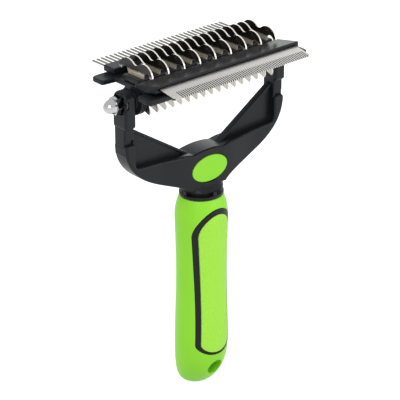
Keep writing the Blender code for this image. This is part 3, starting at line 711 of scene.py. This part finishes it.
def grip_form(grow=0.0):
    """The grip's whole turned form, its wall moved out by a little."""
    shoulder = GRIP_TOP - SHOULDER_HEIGHT
    heights = [GRIP_FOOT * (1 - math.cos(math.pi / 2 * i / FOOT_ROWS)) for i in range(FOOT_ROWS + 1)]
    heights += [GRIP_FOOT + (shoulder - GRIP_FOOT) * i / WAIST_ROWS for i in range(1, WAIST_ROWS + 1)]
    heights += [shoulder + SHOULDER_HEIGHT * i / SHOULDER_ROWS for i in range(1, SHOULDER_ROWS + 1)]
    wall = [(grip_radius(h) + grow, h) for h in reversed(heights)]
    return turned([(0.0, GRIP_TOP)] + wall + [(0.0, 0.0)])


def inlay_floor(sink):
    """A plug inside the grip whose wall is the floor of the inlay's recess."""
    low = INLAY_BOTTOM - PLUG_BELOW
    high = GRIP_TOP + PLUG_ABOVE
    heights = [high + (low - high) * i / PLUG_ROWS for i in range(PLUG_ROWS + 1)]
    wall = [(grip_radius(h) - sink, h) for h in heights]
    return turned([(0.0, high)] + wall + [(0.0, low)])


def inlay_outline(inset, low_inset, high_inset):
    """Outline of the thumb inlay, wider at its top, moved in by insets at its sides, bottom and top."""
    low, high = INLAY_BOTTOM + low_inset, INLAY_TOP - high_inset
    low_half, high_half = INLAY_LOW_HALF - inset, INLAY_TOP_HALF - inset
    low_end, high_end = INLAY_END_SHARES[0] * low_half, INLAY_END_SHARES[1] * high_half
    low_steps, side_steps, high_steps = INLAY_STEPS
    right = ring((0, low + low_end), (low_half, low_end), low_steps, -90, 90)
    for i in range(1, side_steps):
        step = i / side_steps
        side = low_half + (high_half - low_half) * step - INLAY_WAIST * math.sin(math.pi * step)
        right.append((side, low + low_end + (high - high_end - low - low_end) * step))
    right += ring((0, high - high_end), (high_half, high_end), high_steps, 0, 90)
    right[0] = (0.0, low)
    right[-1] = (0.0, high)
    return both_halves(right)


def front(insets, length=INLAY_LENGTH):
    """The space in front of the handle's axis inside the inlay's outline."""
    return prism(inlay_outline(*insets), length, ALONG_Y, INLAY_MIDDLE)


def build_shell():
    """Green shell with the inlay's recess, the hang hole and the tang's socket."""
    recess = place("recess", front((0.0, 0.0, 0.0)))
    combine(recess, inlay_floor(INLAY_SINK), "DIFFERENCE")
    shell = place("shell", grip_form())
    combine(shell, taken(recess), "DIFFERENCE")
    hole = ring((0, HANG_HEIGHT), (HANG_RADIUS, HANG_RADIUS), HOLE_STEPS)
    combine(shell, prism(hole, HANG_LENGTH, ALONG_Y), "DIFFERENCE")
    half_x, half_y = [half + GAP for half in TANG_HALF]
    socket = box((-half_x, -half_y, TANG_BOTTOM - GAP), (half_x, half_y, GRIP_TOP + SOCKET_ABOVE))
    combine(shell, socket, "DIFFERENCE")
    stand_in(shell, "hand", "grip_shell", "green_plastic")


def build_band():
    """Black band round the inlay."""
    band = place("band", front((GAP, GAP, GAP)))
    combine(band, front([GAP + width for width in BAND_WIDTHS], INLAY_CUT_LENGTH), "DIFFERENCE")
    combine(band, grip_form(BAND_PROUD), "INTERSECT")
    combine(band, inlay_floor(INLAY_SINK - GAP), "DIFFERENCE")
    stand_in(band, "hand", "grip_band", "black_plastic")


def build_pad():
    """Dotted pad inside the band."""
    pad = place("pad", front([2 * GAP + width for width in BAND_WIDTHS]))
    combine(pad, grip_form(PAD_PROUD), "INTERSECT")
    combine(pad, inlay_floor(INLAY_SINK - GAP), "DIFFERENCE")
    stand_in(pad, "hand", "grip_pad", "lime_rubber")


# Stage, in metres, watts and degrees

WHITE = (1.0, 1.0, 1.0, 1.0)
FLOOR_GREY = (0.55, 0.55, 0.55, 1.0)
FLOOR_HALF = 3.0
FLOOR_BELOW = 0.0005
FLOOR_GLOW = 0.8
CEILING = (0.05, 0.75, 0.3, 1.0)
BACK_WALL = (-0.1, 0.6, 0.0, 0.75)
LIGHT_AIM = (0, 0, 0.12)
LIGHTS = {
    "key": {"spot": (-0.75, -0.55, 0.75), "size": (0.6, 0.6), "power": 4.6},
    "fill": {"spot": (0.5, -0.9, 0.35), "size": (0.6, 0.6), "power": 3.0},
    "rim": {"spot": (0.7, 0.5, 0.3), "size": (0.5, 0.8), "power": 1.2},
}
VIEW_TURN = 41.34
VIEW_LIFT = 25.04
VIEW_TARGET = (-0.00086, 0.0, AXLE[2] - 0.0654)
VIEW_DISTANCE = 1.0015
VIEW_END = 20.0
LENS_MM = 180.3
SENSOR_MM = 36.0


def build_floor():
    """A pale floor, white to the camera with a faint shadow and softer in what it throws back."""
    low = cad_box[0][2] - FLOOR_BELOW
    corners = [(x * FLOOR_HALF, y * FLOOR_HALF, low) for x, y in ((-1, -1), (1, -1), (1, 1), (-1, 1))]
    mesh = bpy.data.meshes.new("floor")
    mesh.from_pydata(corners, [], [(0, 1, 2, 3)])
    floor = bpy.data.objects.new("floor", mesh)
    scene.collection.objects.link(floor)
    n = Look("floor_white")
    glow = n.math("MULTIPLY", n.seen(), FLOOR_GLOW)
    n.set(Base_Color=FLOOR_GREY, Roughness=1.0, Specular_IOR_Level=0.0, Emission_Color=WHITE,
          Emission_Strength=glow)
    mesh.materials.append(n.mat)


def build_world():
    """White behind the object, with a bright ceiling and a dimmer back wall as its light."""
    world = bpy.data.worlds.new("studio")
    world.use_nodes = True
    scene.world = world
    n = Nodes(world.node_tree)
    _, along_y, along_z = n.split(n.add("ShaderNodeTexCoord").outputs["Generated"])
    ceiling = n.span(along_z, *CEILING, smooth=True)
    wall = n.span(along_y, *BACK_WALL, smooth=True)
    room = n.math("MAXIMUM", ceiling, wall)
    background = world.node_tree.nodes["Background"]
    n.put(background, Color=WHITE, Strength=n.math("MAXIMUM", room, n.seen()))


def add_light(name, spot, size, power):
    """A soft area light aimed at the tool."""
    light = bpy.data.lights.new(name, "AREA")
    light.shape = "RECTANGLE"
    light.size, light.size_y = size
    light.energy = power
    obj = bpy.data.objects.new(name, light)
    obj.location = spot
    obj.rotation_euler = (Vector(LIGHT_AIM) - Vector(spot)).to_track_quat("-Z", "Y").to_euler()
    scene.collection.objects.link(obj)


def build_camera():
    """The photograph's view: from the left front, a little above."""
    turn = math.radians(VIEW_TURN)
    lift = math.radians(VIEW_LIFT)
    away = Vector((-math.sin(turn) * math.cos(lift), -math.cos(turn) * math.cos(lift), math.sin(lift)))
    data = bpy.data.cameras.new("camera")
    data.sensor_width = SENSOR_MM
    data.lens = LENS_MM
    data.clip_end = VIEW_END
    data.dof.use_dof = False
    camera = bpy.data.objects.new("camera", data)
    camera.location = Vector(VIEW_TARGET) + away * VIEW_DISTANCE
    camera.rotation_euler = (-away).to_track_quat("-Z", "Y").to_euler()
    scene.collection.objects.link(camera)
    scene.camera = camera


# Build

dress_nodes()
build_yoke()
build_badge()
build_shell()
build_band()
build_pad()
build_floor()
build_world()
for light_name, light_values in LIGHTS.items():
    add_light(light_name, **light_values)
build_camera()
